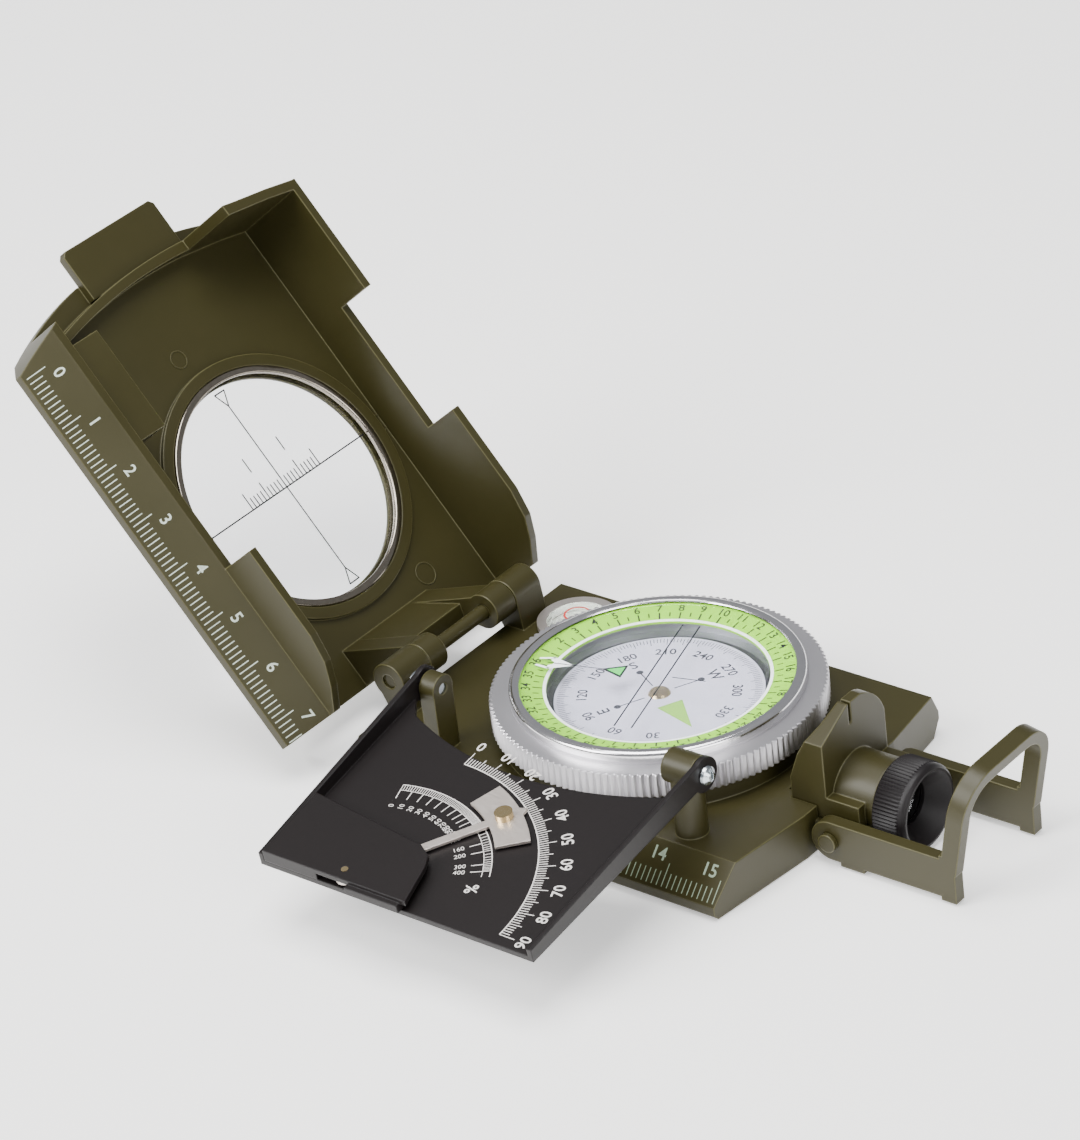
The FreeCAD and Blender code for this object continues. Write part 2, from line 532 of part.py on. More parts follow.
def inclinometer():
    rest = hinge_placement((0, "tray_across", "tray_up"), DIMENSIONS["tray_droop"], (1, 0, 0))
    up = size("tray_up")
    under, floor_top = up + "tray_under", up + "tray_floor"
    depth, half = size("tray_depth"), size("tray_half")
    floor = slab("tray_floor_sheet", [
        tray_point(-half, depth), tray_point(half, depth), tray_point(half, 3.0), tray_point(half - 0.9, 3.0),
        tray_point(half - 3.4, "tray_inner") + (-60.0,), tray_point(-26.4, "tray_inner"),
        tray_point(-29.3, 3.0), tray_point(-30.2, 3.0)], under, floor_top)
    sides = []
    for side, outline in (
            ("right", [(half - 0.9, depth), (half, depth), (half, -3.0), (half - 0.9, -3.0)]),
            ("left", [(-half, depth), (0.9 - half.value, depth), (-29.5, -3.0), (-30.4, -3.0)])):
        plan = slab("flange_plan_" + side, [tray_point(x, out) for x, out in outline], up - 4.0, up + 4.0)
        profile = rail("flange_profile_" + side, [
            (size("tray_across") - depth, under), (size("tray_across") - 2.0, under),
            (size("tray_across"), up - 2.6), (size("tray_across"), up + 2.8),
            (size("tray_across") - depth, up + 0.9)], -32.0, 29.0)
        ear = rod("ear_" + side, (-32.0, "tray_across", "tray_up"), "ear", 62.0, ALONG)
        sides.append(common("flange_" + side, plan, fuse("flange_side_" + side, profile, ear)))
    whole = fuse("tray_whole", floor, *sides)
    ears = rod("tray_ear_bores", (-32.0, "tray_across", "tray_up"), size("ear_pin") + 0.06, 62.0, ALONG)
    pin_x, pin_y = tray_point("pendulum_along", "pendulum_out")
    pin_bore = rod("tray_pin_bore", (pin_x, pin_y, 15.0), 0.6, 8.0)
    node(cut("inclinometer_tray", whole, ears, pin_bore), "inclinometer_tray", rest)
    block = slab("pivot_cover_block", [
        tray_point(-26.4, 46.0), tray_point(2.8, 46.0), tray_point(0.6, 38.0), tray_point(-0.6, 35.6),
        tray_point(-3.2, 34.1), tray_point(-27.3, 31.0)], floor_top, up + 1.7)
    room = slab("pivot_cover_room", [
        tray_point(-15.5, 48.5), tray_point(10.0, 48.5), tray_point(14.0, 28.0), tray_point(-30.0, 24.0),
        tray_point(-24.0, 33.5), tray_point(-15.5, 42.0)], up - 0.6, up + 0.8)
    front = box("pivot_cover_front", (-9.0, -70.5, up - 0.4), (1.6, -69.0, up + 1.0))
    pin_hole = rod("pivot_cover_bore", (pin_x, pin_y, 15.0), 0.6, 8.0)
    shell = cut("pivot_cover_shell", block, room, pin_hole)
    node(fuse("pivot_cover", shell, front), "pivot_cover", rest)
    node(rod("pendulum_pin", (pin_x, pin_y, under + 0.1), 0.6, 3.15), "pendulum_pin", rest)
    pendulum(rest, pin_x, pin_y, up)


def pendulum(rest, pin_x, pin_y, up):
    """A flat steel arm that hangs from the pin, with a sector weight, a pointer and a stop stud."""
    low, thick = up - 0.1, 0.5
    spread = math.radians(15.2)
    aim = hinge_placement((pin_x, pin_y, 0), -DIMENSIONS["pendulum_rest"], (0, 0, 1))
    hub = rod("pendulum_hub", (pin_x, pin_y, low), 1.8, thick)
    arm = box("pendulum_arm", (pin_x - 0.8, pin_y, low), (pin_x + 0.8, pin_y + 24.5, low + thick))
    rim = [(pin_x + radius * math.sin(angle), pin_y + radius * math.cos(angle))
           for radius, angle in ((23.6, spread), (29.3, spread), (29.3, -spread), (23.6, -spread))]
    weight = slab("pendulum_weight", [rim[0], rim[1] + (29.3,), rim[2], rim[3] + (-23.6,)], low, low + thick)
    tip = slab("pendulum_tip", [(pin_x + 1.1, pin_y + 29.0), (pin_x, pin_y + "pendulum_reach"),
                                (pin_x - 1.1, pin_y + 29.0)], low, low + thick)
    eye = rod("pendulum_eye", (pin_x, pin_y, 15.0), 0.66, 8.0)
    whole = cut("pendulum_flat", fuse("pendulum_whole", hub, arm, weight, tip), eye)
    swung = rest.multiply(aim)
    node(whole, "pendulum", swung)
    node(rod("pendulum_stud_rod", (pin_x, pin_y + 26.5, low + thick), 1.5, 1.1), "pendulum_stud", swung)


def finish():
    """Recompute, refuse anything invalid, and write one STEP file per sub-part."""
    doc.recompute()
    for item in doc.Objects:
        if "Invalid" in item.State or "Error" in item.State:
            raise RuntimeError("%s failed: %s" % (item.Name, item.State))
    os.makedirs("parts", exist_ok=True)
    for item in nodes:
        shape = item.Shape
        if shape.isNull() or not shape.isValid() or shape.Volume < 0.01:
            raise RuntimeError("%s has no valid solid" % item.Label)
        shape.exportStep("parts/%s.step" % item.Label)
        print("%-20s %9.1f mm3, %d solid(s)" % (item.Label, shape.Volume, len(shape.Solids)))


node(base_casting(), "base_casting")
base_fittings()
capsule()
bezel()
bubble_level()
sight()
eyepiece()
thumb_loop()
cover()
inclinometer()
finish()
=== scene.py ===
import math

import bmesh
import bpy
from mathutils import Matrix, Vector


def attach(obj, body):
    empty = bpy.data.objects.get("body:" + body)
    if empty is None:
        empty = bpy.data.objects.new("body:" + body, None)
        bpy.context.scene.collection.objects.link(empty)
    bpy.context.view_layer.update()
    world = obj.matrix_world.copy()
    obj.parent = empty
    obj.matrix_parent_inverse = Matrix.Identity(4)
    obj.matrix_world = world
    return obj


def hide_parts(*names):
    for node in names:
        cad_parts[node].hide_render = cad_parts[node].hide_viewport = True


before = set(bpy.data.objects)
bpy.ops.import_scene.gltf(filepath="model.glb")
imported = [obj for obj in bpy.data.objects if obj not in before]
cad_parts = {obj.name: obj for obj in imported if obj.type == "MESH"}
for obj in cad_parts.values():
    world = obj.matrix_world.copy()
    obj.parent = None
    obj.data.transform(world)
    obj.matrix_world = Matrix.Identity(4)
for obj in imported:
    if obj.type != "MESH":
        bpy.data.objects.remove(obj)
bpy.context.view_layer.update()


# Housing: the base, the cover, the sight housing and the thumb loop are aluminium pressure castings.
# They are trimmed and tumbled, which leaves every edge slightly soft, and sprayed with olive enamel.
# The floor plate and the hinge pin are sprayed in the same batch.
def linear(code):
    """A colour written as sRGB hex, turned to the linear values that a shader works in."""
    channels = [int(code[start:start + 2], 16) / 255 for start in (1, 3, 5)]
    return [c / 12.92 if c <= 0.04045 else ((c + 0.055) / 1.055) ** 2.4 for c in channels] + [1.0]


def new_finish(name):
    """An empty material, named for what the surface is made of, and its node tree."""
    finish = bpy.data.materials.new(name)
    finish.use_nodes = True
    finish.node_tree.nodes.clear()
    return finish, finish.node_tree


def add(tree, kind, inputs=None, **settings):
    """Add one shader node, set its fields, and fill its sockets with values or other nodes' outputs."""
    made = tree.nodes.new(kind)
    for field, value in settings.items():
        setattr(made, field, value)
    for socket, value in (inputs or {}).items():
        if isinstance(value, bpy.types.NodeSocket):
            tree.links.new(value, made.inputs[socket])
        else:
            made.inputs[socket].default_value = value
    return made


def dress(names, finish):
    """Give CAD nodes their finish in place of the plain one that they arrive with."""
    for name in names:
        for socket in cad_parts[name].material_slots:
            socket.material = finish


# Stoved enamel over cast aluminium: a satin coat with faint orange peel about 0.8 mm across, and a painted
# highlight: a paler olive line along the edges, where the rounded edges catch the light.
olive_enamel, tree = new_finish("stoved_olive_enamel")
where = add(tree, "ShaderNodeTexCoord")
peel = add(tree, "ShaderNodeTexNoise", {"Vector": where.outputs["Object"], "Scale": 1 / 0.0008,
                                        "Detail": 2.0, "Roughness": 0.5})
cloud = add(tree, "ShaderNodeTexNoise", {"Vector": where.outputs["Object"], "Scale": 1 / 0.022,
                                         "Detail": 3.0, "Roughness": 0.55})
soft_edge = add(tree, "ShaderNodeBevel", {"Radius": 0.00042}, samples=8)
face = add(tree, "ShaderNodeNewGeometry")
turned = add(tree, "ShaderNodeVectorMath", {0: soft_edge.outputs["Normal"], 1: face.outputs["Normal"]},
             operation="DOT_PRODUCT")
# Painted highlight: where the bevelled normal turns away from the face, the coat is mixed towards pale
# olive.
painted_edge_highlight = add(tree, "ShaderNodeMapRange", {"Value": turned.outputs["Value"], "From Min": 0.985,
                                        "From Max": 0.84, "To Min": 0.0, "To Max": 0.5})
coat = add(tree, "ShaderNodeMixRGB", {"Fac": cloud.outputs["Fac"], "Color1": linear("#2A270E"),
                                      "Color2": linear("#332F14")})
coat_with_edge_highlight = add(tree, "ShaderNodeMixRGB", {"Fac": painted_edge_highlight.outputs["Result"], "Color1": coat.outputs["Color"],
                                       "Color2": linear("#6E6A44")})
sheen = add(tree, "ShaderNodeMapRange", {"Value": cloud.outputs["Fac"], "From Min": 0.3, "From Max": 0.7,
                                         "To Min": 0.36, "To Max": 0.44})
ripple = add(tree, "ShaderNodeBump", {"Strength": 0.12, "Distance": 0.00003, "Height": peel.outputs["Fac"],
                                      "Normal": soft_edge.outputs["Normal"]})
shader = add(tree, "ShaderNodeBsdfPrincipled", {"Base Color": coat_with_edge_highlight.outputs["Color"],
                                                "Roughness": sheen.outputs["Result"], "IOR": 1.42,
                                                "Normal": ripple.outputs["Normal"]})
add(tree, "ShaderNodeOutputMaterial", {"Surface": shader.outputs["BSDF"]})
dress(("base_casting", "cover_casting", "sight_housing", "thumb_loop", "floor_plate", "hinge_pin"),
      olive_enamel)


# Rulers: a centimetre scale is pad-printed on the two bevelled edges, 0 to 7 on the cover and 8 to 15
# on the base, so that the open instrument measures along its whole side. The ink is white and matt.
mm = 0.001


def about(pivot, degrees, axis):
    """A turn about a line through a pivot given in millimetres."""
    centre = Matrix.Translation(Vector(pivot) * mm)
    return centre @ Matrix.Rotation(math.radians(degrees), 4, axis) @ centre.inverted()


def plane(origin, across, upward, lift=0.02):
    """Millimetres on a flat face: x along the writing, y up it, z out of the face, lifted by the ink."""
    x, y = Vector(across).normalized(), Vector(upward).normalized()
    z = x.cross(y)
    place = Matrix((x, y, z)).transposed().to_4x4()
    place.translation = (Vector(origin) + z * lift) * mm
    return place @ Matrix.Diagonal((mm, mm, mm, 1))


def stroke(mesh, place, start, end, width):
    """One printed line between two points on the face."""
    start, end = Vector(start), Vector(end)
    run, middle = end - start, (start + end) / 2
    lie = (place @ Matrix.Translation((middle.x, middle.y, 0))
           @ Matrix.Rotation(math.atan2(run.y, run.x), 4, "Z") @ Matrix.Diagonal((run.length, width, 1, 1)))
    bmesh.ops.create_grid(mesh, x_segments=1, y_segments=1, size=0.5, matrix=lie)


def join(mesh, part):
    """Move a finished part into a larger mesh."""
    loose = bpy.data.meshes.new("part")
    part.to_mesh(loose)
    part.free()
    mesh.from_mesh(loose)
    bpy.data.meshes.remove(loose)


def figures(mesh, place, words, centre, height, degrees=0.0):
    """Printed figures of one height, centred on a point of the face and turned on it."""
    curve = bpy.data.curves.new("type", "FONT")
    curve.body, curve.size, curve.resolution_u = words, height * 1.38, 3
    curve.align_x = curve.align_y = "CENTER"
    curve.offset = height * 0.018 if height > 1.2 else 0  # the smallest figures would fill in
    setting = bpy.data.objects.new("type", curve)
    flat = bpy.data.meshes.new_from_object(setting)
    flat.transform(place @ Matrix.Translation((centre[0], centre[1], 0))
                   @ Matrix.Rotation(math.radians(degrees), 4, "Z"))
    mesh.from_mesh(flat)
    bpy.data.objects.remove(setting)
    bpy.data.curves.remove(curve)
    bpy.data.meshes.remove(flat)


def fit(name, mesh, finish, body, smooth=False):
    """Turn a finished bmesh into an object that rides on a body."""
    data = bpy.data.meshes.new(name)
    mesh.to_mesh(data)
    mesh.free()
    data.materials.append(finish)
    if smooth:
        data.shade_smooth()
        data.set_sharp_from_angle(angle=math.radians(32))
    made = bpy.data.objects.new(name, data)
    bpy.context.collection.objects.link(made)
    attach(made, body)
    return made


def printing_ink(name, code, thin_code):
    """Pad-printed ink: matt, a little uneven where the pad left less of it."""
    finish, tree = new_finish(name)
    where = add(tree, "ShaderNodeTexCoord")
    patch = add(tree, "ShaderNodeTexNoise", {"Vector": where.outputs["Object"], "Scale": 1 / 0.0006,
                                             "Detail": 2.0})
    tone = add(tree, "ShaderNodeMixRGB", {"Fac": patch.outputs["Fac"], "Color1": linear(code),
                                          "Color2": linear(thin_code)})
    shader = add(tree, "ShaderNodeBsdfPrincipled", {"Base Color": tone.outputs["Color"],
                                                    "Roughness": 0.75, "IOR": 1.32})
    add(tree, "ShaderNodeOutputMaterial", {"Surface": shader.outputs["BSDF"]})
    return finish


# Near-white ink, greyer where it is thin.
ruler_ink = printing_ink("white_pad_ink_on_enamel", "#C9D2C6", "#8F9A8C")
cover_rest = about((-42.4, 0, 13.3), -130, "Y")
edge = cover_rest @ plane((33.1, -35.2, 24.2), (-1, 0, 0), (0, 7.2, -5.1))
mesh = bmesh.new()
for step in range(75):
    stroke(mesh, edge, (step, 0.6), (step, 4.3 if step % 10 == 0 else 3.1), 0.18)
    if step % 10 == 0:
        figures(mesh, edge, str(step // 10), (step + 2.1, 5.6), 2.1)
fit("cover_ruler_print", mesh, ruler_ink, "cover")
# The base's ruler looks greener and darker, as the olive shows through a thinner print.
worn_ink = printing_ink("grey_green_pad_ink_on_enamel", "#9CAB96", "#7E8D79")
edge = plane((33.6, -33.3, 2.4), (1, 0, 0), (0, 5.1, 5.1))
mesh = bmesh.new()
for step in range(76):
    stroke(mesh, edge, (-step, 0.6), (-step, 4.5 if step % 10 == 0 else 3.0), 0.16)
    if step % 10 == 0:
        figures(mesh, edge, str(15 - step // 10), (-step - 2.6, 5.5), 2.2)
fit("base_ruler_print", mesh, worn_ink, "base")


# Cover window: a flat clear acrylic disc, held against its seat by a bright ring snapped in behind it.
# A sighting line, a cross scale and two aiming triangles are etched on its inner face and filled black.
def clear(name, ior, tint):
    """A clear, polished sheet with its body colour; light reaches what lies under it undimmed."""
    finish, tree = new_finish(name)
    where = add(tree, "ShaderNodeTexCoord")
    wipe = add(tree, "ShaderNodeTexNoise", {"Vector": where.outputs["Object"], "Scale": 1 / 0.009,
                                            "Detail": 4.0})
    haze = add(tree, "ShaderNodeMapRange", {"Value": wipe.outputs["Fac"], "From Min": 0.45,
                                            "From Max": 0.8, "To Min": 0.0, "To Max": 0.05})
    shader = add(tree, "ShaderNodeBsdfPrincipled", {"Base Color": linear(tint), "IOR": ior,
                                                    "Roughness": haze.outputs["Result"],
                                                    "Transmission Weight": 1.0})
    ray = add(tree, "ShaderNodeLightPath")
    open_way = add(tree, "ShaderNodeBsdfTransparent", {"Color": linear(tint)})
    lit = add(tree, "ShaderNodeMixShader", {0: ray.outputs["Is Shadow Ray"], 1: shader.outputs["BSDF"],
                                            2: open_way.outputs["BSDF"]})
    add(tree, "ShaderNodeOutputMaterial", {"Surface": lit.outputs["Shader"]})
    return finish


def lathe(profile, steps):
    """Turn a closed outline of (radius, height) corners, in millimetres, into a ring about Z."""
    mesh = bmesh.new()
    corners = [mesh.verts.new((radius * mm, 0, height * mm)) for radius, height in profile]
    sides = [mesh.edges.new(pair) for pair in zip(corners, corners[1:] + corners[:1])]
    bmesh.ops.spin(mesh, geom=corners + sides, axis=(0, 0, 1), cent=(0, 0, 0), dvec=(0, 0, 0),
                   angle=math.tau, steps=steps, use_merge=True)
    bmesh.ops.remove_doubles(mesh, verts=mesh.verts, dist=1e-7)
    bmesh.ops.recalc_face_normals(mesh, faces=mesh.faces)
    return mesh


def break_edges(mesh, width, segments=2):
    """Round a turned or pressed piece's sharp edges."""
    sharp = [edge for edge in mesh.edges if edge.is_manifold and edge.calc_face_angle() > 0.6]
    bmesh.ops.bevel(mesh, geom=sharp, offset=width * mm, offset_type="OFFSET", segments=segments,
                    profile=0.5, affect="EDGES", clamp_overlap=True, material=-1)


# Clear sheet, faintly hazed by wiping. Its index is a little under acrylic's 1.49, to keep reflections
# from veiling what lies below.
acrylic = clear("cast_acrylic_sheet", 1.42, "#FBFCFE")
dress(("cover_window",), acrylic)

# Polished aluminium: near-mirror, with faint polishing swirls about 1.5 mm across.
bright_metal, tree = new_finish("polished_bright_aluminium")
where = add(tree, "ShaderNodeTexCoord")
swirl = add(tree, "ShaderNodeTexNoise", {"Vector": where.outputs["Object"], "Scale": 1 / 0.0015,
                                         "Detail": 3.0})
polish = add(tree, "ShaderNodeMapRange", {"Value": swirl.outputs["Fac"], "From Min": 0.3, "From Max": 0.8,
                                          "To Min": 0.14, "To Max": 0.24})
shader = add(tree, "ShaderNodeBsdfPrincipled", {"Base Color": linear("#E8E7E9"), "Metallic": 1.0,
                                                "Roughness": polish.outputs["Result"]})
add(tree, "ShaderNodeOutputMaterial", {"Surface": shader.outputs["BSDF"]})
# Nickel-silver wire: warm grey and glossy, a little uneven from drawing.
dull_nickel, tree = new_finish("drawn_nickel_silver_wire")
where = add(tree, "ShaderNodeTexCoord")
draw_marks = add(tree, "ShaderNodeTexNoise", {"Vector": where.outputs["Object"], "Scale": 1 / 0.001})
tone = add(tree, "ShaderNodeMixRGB", {"Fac": draw_marks.outputs["Fac"], "Color1": linear("#8E867A"),
                                      "Color2": linear("#A69E92")})
shader = add(tree, "ShaderNodeBsdfPrincipled", {"Base Color": tone.outputs["Color"], "Metallic": 1.0,
                                                "Roughness": 0.15})
add(tree, "ShaderNodeOutputMaterial", {"Surface": shader.outputs["BSDF"]})
mesh = lathe([(20.9, 27.0), (22.2, 27.0), (22.2, 28.2), (20.9, 28.2)], 192)
break_edges(mesh, 0.3, 3)
mesh.transform(cover_rest @ Matrix.Translation((-5.7 * mm, 0, 0)))
ring = fit("window_snap_ring", mesh, dull_nickel, "cover", smooth=True)
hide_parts("window_ring")

# Black filling, matt and slightly grey.
etched_black = printing_ink("black_filled_etching", "#0C0B0D", "#171619")
glass_face = cover_rest @ plane((-5.7, 0, 28.2), (0, 1, 0), (1, 0, 0))
mesh = bmesh.new()
stroke(mesh, glass_face, (0, -17.1), (0, 17.1), 0.27)
stroke(mesh, glass_face, (-20.6, 0), (20.6, 0), 0.27)
for end in (-1, 1):
    stroke(mesh, glass_face, (0, 16.9 * end), (-1.2, 19.7 * end), 0.26)
    stroke(mesh, glass_face, (0, 16.9 * end), (1.2, 19.7 * end), 0.26)
    stroke(mesh, glass_face, (-1.3, 19.7 * end), (1.3, 19.7 * end), 0.26)
    stroke(mesh, glass_face, (4.4 * end, 5.4), (4.4 * end, 8.2), 0.26)
for step in range(-10, 11):
    stroke(mesh, glass_face, (0.88 * step, 0), (0.88 * step, 3.3 if step % 5 == 0 and step else 2.0), 0.26)
fit("window_reticle", mesh, etched_black, "cover")


# Ejector marks: the die's ejector pins leave faint round witness lines on the cover's inner faces,
# under the paint.
mesh = bmesh.new()
plate_face = 28.1
for along, across, radius in ((-31.5, 13.5, 2.0), (-5.7, 24.6, 1.6), (22.5, -3.0, 1.6)):
    witness = lathe([(radius - 0.12, 0.1), (radius, 0.16), (radius + 0.12, 0.1), (radius, -0.1)], 48)
    witness.transform(cover_rest @ Matrix.Translation((along * mm, across * mm, plate_face * mm))
                      @ Matrix.Rotation(math.pi, 4, "X"))
    join(mesh, witness)
fit("ejector_marks", mesh, olive_enamel, "cover", smooth=True)


# Bezel: a turned aluminium ring with 140 straight grip ribs rolled round its wall. It snaps over the
# base's collar on a sprung wire ring, and carries the scale, the crystal and a polished lip.

# Turned aluminium, lightly blasted: pale satin, with a grain of 0.25 mm and slow smudges from handling.
satin_metal, tree = new_finish("satin_turned_aluminium")
where = add(tree, "ShaderNodeTexCoord")
grain = add(tree, "ShaderNodeTexNoise", {"Vector": where.outputs["Object"], "Scale": 1 / 0.00025,
                                         "Detail": 2.0})
smudge = add(tree, "ShaderNodeTexNoise", {"Vector": where.outputs["Object"], "Scale": 1 / 0.012,
                                          "Detail": 3.0})
tone = add(tree, "ShaderNodeMixRGB", {"Fac": smudge.outputs["Fac"], "Color1": linear("#CCCACE"),
                                      "Color2": linear("#D9D7DA")})
satin = add(tree, "ShaderNodeMapRange", {"Value": grain.outputs["Fac"], "From Min": 0.3, "From Max": 0.7,
                                         "To Min": 0.36, "To Max": 0.46})
grit = add(tree, "ShaderNodeBump", {"Strength": 0.1, "Distance": 0.00001, "Height": grain.outputs["Fac"]})
shader = add(tree, "ShaderNodeBsdfPrincipled", {"Base Color": tone.outputs["Color"], "Metallic": 1.0,
                                                "Roughness": satin.outputs["Result"],
                                                "Normal": grit.outputs["Normal"]})
add(tree, "ShaderNodeOutputMaterial", {"Surface": shader.outputs["BSDF"]})
ribs, rib_depth, ribbed_from = 140, 0.5, 27.3
mesh = lathe([(25.06, 11.0), (27.5, 11.0), (27.9, 11.3), (27.9, 15.3), (27.7, 15.5), (27.1, 15.5),
              (24.5, 15.5), (24.5, 15.95), (21.6, 15.95), (21.6, 15.45), (25.06, 15.45)], ribs * 6)
for vertex in mesh.verts:
    reach = math.hypot(vertex.co.x, vertex.co.y)
    if reach > ribbed_from * mm:
        phase = math.atan2(vertex.co.y, vertex.co.x) * ribs
        cut = rib_depth * (0.5 - 0.5 * math.cos(phase)) ** 1.2
        vertex.co.xy *= 1 - cut * mm / reach
grip = fit("ribbed_bezel", mesh, satin_metal, "bezel", smooth=True)
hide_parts("bezel_ring")
mesh = lathe([(23.2, 15.95), (24.5, 15.95), (24.5, 16.9), (24.42, 17.2), (24.22, 17.42), (23.9, 17.56),
              (23.5, 17.6), (23.1, 17.55), (22.8, 17.42), (22.7, 17.25), (23.2, 17.25)], 256)
lip = fit("polished_lip", mesh, bright_metal, "bezel", smooth=True)
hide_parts("crystal_lip")


# Luminous scale: a dished ring moulded in glow-in-the-dark plastic under the crystal, hot-stamped with
# figures 1 to 36 for tens of degrees, a stroke every five degrees, and a white inner border.

# Filled plastic: flat lime green, without gloss, with a faint speckle of its crystals.
glow_plastic, tree = new_finish("photoluminescent_plastic")
where = add(tree, "ShaderNodeTexCoord")
crystals = add(tree, "ShaderNodeTexNoise", {"Vector": where.outputs["Object"], "Scale": 1 / 0.0003,
                                            "Detail": 2.0})
tone = add(tree, "ShaderNodeMixRGB", {"Fac": crystals.outputs["Fac"], "Color1": linear("#7EC012"),
                                      "Color2": linear("#88C81E")})
shader = add(tree, "ShaderNodeBsdfPrincipled", {"Base Color": tone.outputs["Color"], "Roughness": 0.7,
                                                "IOR": 1.3})
add(tree, "ShaderNodeOutputMaterial", {"Surface": shader.outputs["BSDF"]})
dress(("luminous_scale",), glow_plastic)


def dished(bearing, radius):
    """The plane of the dished ring at one bearing, with the writing's top turned outwards."""
    angle = math.radians(bearing)
    outward = (math.cos(angle), math.sin(angle))
    rise = (16.45 - 15.6) / (22.9 - 18.4)
    return plane((radius * outward[0], radius * outward[1], 15.6 + (radius - 18.4) * rise),
                 (outward[1], -outward[0], 0), (outward[0], outward[1], rise))


index_bearing = -164.0
# Black foil, dense and even.
dial_black = printing_ink("black_hot_stamp_foil", "#0E1011", "#1A1C1D")
mesh = bmesh.new()
for number in range(1, 37):
    bearing = index_bearing - 10 * number
    figures(mesh, dished(bearing, 21.6), str(number), (0, 0), 1.6)
    stroke(mesh, dished(bearing, 19.8), (0, -0.8), (0, 0.8), 0.26)
    stroke(mesh, dished(bearing - 5, 20.1), (0, -0.5), (0, 0.5), 0.22)
fit("scale_print", mesh, dial_black, "bezel")
# White ink, as bright as the dial gets.
dial_white = printing_ink("white_dial_ink", "#F0F1EE", "#E2E4E0")
mesh = lathe([(18.41, 15.6), (18.95, 15.71), (18.95, 15.735), (18.41, 15.63)], 180)
fit("scale_border", mesh, dial_white, "bezel")


# Crystal: a flat acrylic disc under the lip, printed on its under side with two meridian lines, a
# thinner index line, a white pointer at 36, and a small green arrow with a black border.
def patch(mesh, place, corners):
    """A flat printed shape with straight sides."""
    mesh.faces.new([mesh.verts.new(place @ Vector((*corner, 0))) for corner in corners])


dress(("bezel_crystal", "capsule_glass"), acrylic)
angle = math.radians(index_bearing)
under_crystal = plane((0, 0, 16.53), (math.cos(angle), math.sin(angle), 0),
                      (-math.sin(angle), math.cos(angle), 0), lift=0)
mesh = bmesh.new()
for side in (-1.5, 1.5):
    stroke(mesh, under_crystal, (side, -15.9), (side, 15.9), 0.27)
stroke(mesh, under_crystal, (19.4, 0), (9.6, 0), 0.2)
stroke(mesh, under_crystal, (-2.6, 0), (-8.4, 0), 0.2)
patch(mesh, under_crystal, [(9.9, 0), (5.8, 1.95), (5.8, -1.95)])
fit("crystal_lines", mesh, dial_black, "bezel")
# A stronger green than the ring's, ringed in black by the shape under it.
arrow_green = printing_ink("green_luminous_ink", "#38B84A", "#46C258")
above = Matrix.Translation((0, 0, 0.02 * mm)) @ under_crystal
mesh = bmesh.new()
patch(mesh, above, [(8.9, 0), (6.15, 1.3), (6.15, -1.3)])
fit("crystal_arrow", mesh, arrow_green, "bezel")
below = Matrix.Translation((0, 0, -0.03 * mm)) @ under_crystal
mesh = bmesh.new()
patch(mesh, below, [(14.7, 0), (18.9, 1.9), (19.1, 0.8), (17.9, 0)])
patch(mesh, below, [(17.9, 0), (19.1, -0.8), (18.9, -1.9), (14.7, 0)])
stroke(mesh, below, (18.6, 1.6), (21.2, 1.0), 0.5)
stroke(mesh, below, (18.6, -1.6), (21.2, -1.0), 0.5)
fit("index_pointer", mesh, dial_white, "bezel")


# Capsule: a turned aluminium bowl closed by a clear disc on a rubber seal, once filled with damping
# oil. The base carries the bowl on a rubber cushion. A hardened needle stands in its middle.

# Bare aluminium straight from the lathe: soft grey, with fine tool rings.
bare_metal, tree = new_finish("bare_turned_aluminium")
where = add(tree, "ShaderNodeTexCoord")
rings = add(tree, "ShaderNodeTexWave", {"Vector": where.outputs["Object"], "Scale": 1 / 0.0022,
                                        "Distortion": 0.4, "Detail": 1.0},
            wave_type="RINGS", rings_direction="Z")
cuts = add(tree, "ShaderNodeBump", {"Strength": 0.25, "Distance": 0.00002, "Height": rings.outputs["Fac"]})
shader = add(tree, "ShaderNodeBsdfPrincipled", {"Base Color": linear("#B9B7BC"), "Metallic": 0.9,
                                                "Roughness": 0.42, "Normal": cuts.outputs["Normal"]})
add(tree, "ShaderNodeOutputMaterial", {"Surface": shader.outputs["BSDF"]})
dress(("capsule_bowl",), bare_metal)

# Moulded rubber: dull black with a slight bloom.
soft_rubber, tree = new_finish("black_nitrile_rubber")
where = add(tree, "ShaderNodeTexCoord")
bloom = add(tree, "ShaderNodeTexNoise", {"Vector": where.outputs["Object"], "Scale": 1 / 0.0005})
tone = add(tree, "ShaderNodeMixRGB", {"Fac": bloom.outputs["Fac"], "Color1": linear("#1B1A1A"),
                                      "Color2": linear("#262525")})
shader = add(tree, "ShaderNodeBsdfPrincipled", {"Base Color": tone.outputs["Color"], "Roughness": 0.75,
                                                "IOR": 1.52})
add(tree, "ShaderNodeOutputMaterial", {"Surface": shader.outputs["BSDF"]})
dress(("capsule_seal", "cushion_ring"), soft_rubber)


# Card: a thin aluminium disc, white-coated and printed with degrees, the cardinal letters and a green
# north arrow. Two bar magnets hang under it, and a brass jewel cup carries it on the needle.

# Matt lacquer: a cool, pale grey-white, slightly clouded.
card_coat, tree = new_finish("matt_white_card_lacquer")
where = add(tree, "ShaderNodeTexCoord")
tooth = add(tree, "ShaderNodeTexNoise", {"Vector": where.outputs["Object"], "Scale": 1 / 0.002,
                                         "Detail": 3.0})
tone = add(tree, "ShaderNodeMixRGB", {"Fac": tooth.outputs["Fac"], "Color1": linear("#BAB7C0"),
                                      "Color2": linear("#C6C3CB")})
shader = add(tree, "ShaderNodeBsdfPrincipled", {"Base Color": tone.outputs["Color"], "Roughness": 0.75,
                                                "IOR": 1.32})
add(tree, "ShaderNodeOutputMaterial", {"Surface": shader.outputs["BSDF"]})
dress(("compass_card",), card_coat)


